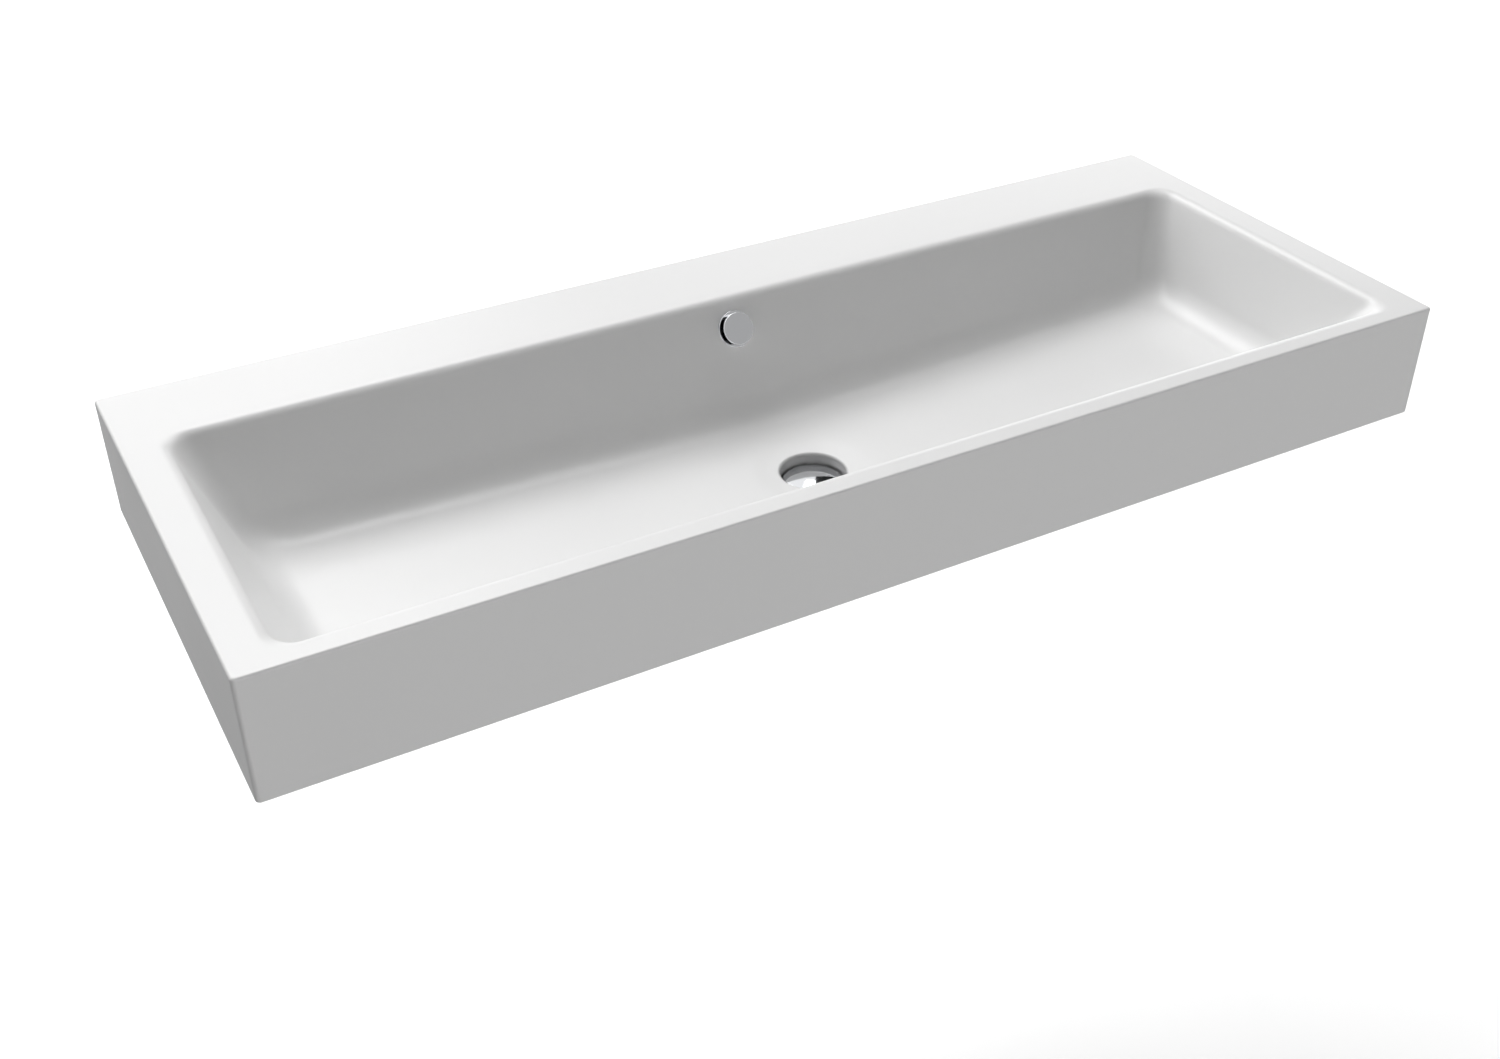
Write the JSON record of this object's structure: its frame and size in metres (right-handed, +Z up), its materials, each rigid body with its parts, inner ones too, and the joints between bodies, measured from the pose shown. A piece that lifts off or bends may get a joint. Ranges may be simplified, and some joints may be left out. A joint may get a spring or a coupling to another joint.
{
  "type": "wall-hung washbasin",
  "caption": "Wide wall-hung washbasin with a sloped trough bowl, chrome overflow cap, push-open plug, waste and wall fixings.",
  "frame": {"origin": "middle of the line between the two wall bolts, on the back face", "axes": "+X to the right as seen from the front, +Y into the wall, +Z up"},
  "size_m": [1.2, 0.46, 0.2256],
  "materials": {
    "enamel": "glossy white vitreous enamel",
    "chrome": "polished",
    "zinc": "zinc plated",
    "rubber": "matt",
    "light_plastic": "moulded",
    "grey_plastic": "moulded",
    "bitumen": "matt"
  },
  "bodies": {
    "basin": {"basin_shell": "enamel", "wall_plate_left": "enamel", "wall_plate_right": "enamel", "fixing_bushes": "light_plastic", "fixing_washers": "zinc", "fixing_nuts": "zinc", "damping_pad_left": "bitumen", "damping_pad_right": "bitumen", "overflow_cap": "chrome", "overflow_ring": "chrome", "overflow_screw": "zinc", "overflow_gasket": "rubber", "overflow_elbow": "grey_plastic", "hose_nut_upper": "light_plastic", "overflow_hose": "grey_plastic", "hose_nut_lower": "light_plastic", "hose_seals": "rubber", "overflow_collar": "grey_plastic", "collar_seals": "rubber", "waste_flange": "chrome", "waste_flange_seal": "rubber", "waste_back_nut": "grey_plastic", "plug_cartridge": "light_plastic", "plug_spring": "zinc"},
    "plug": {"plug_cover": "chrome", "plug_seal": "rubber", "plug_stem": "zinc"}
  },
  "joints": [
    {"name": "plug_slide", "type": "slide", "parent": "basin", "child": "plug", "axis": [0, 0, 1], "range_m": [0, 0.008], "deforming": ["plug_spring"]}
  ]
}
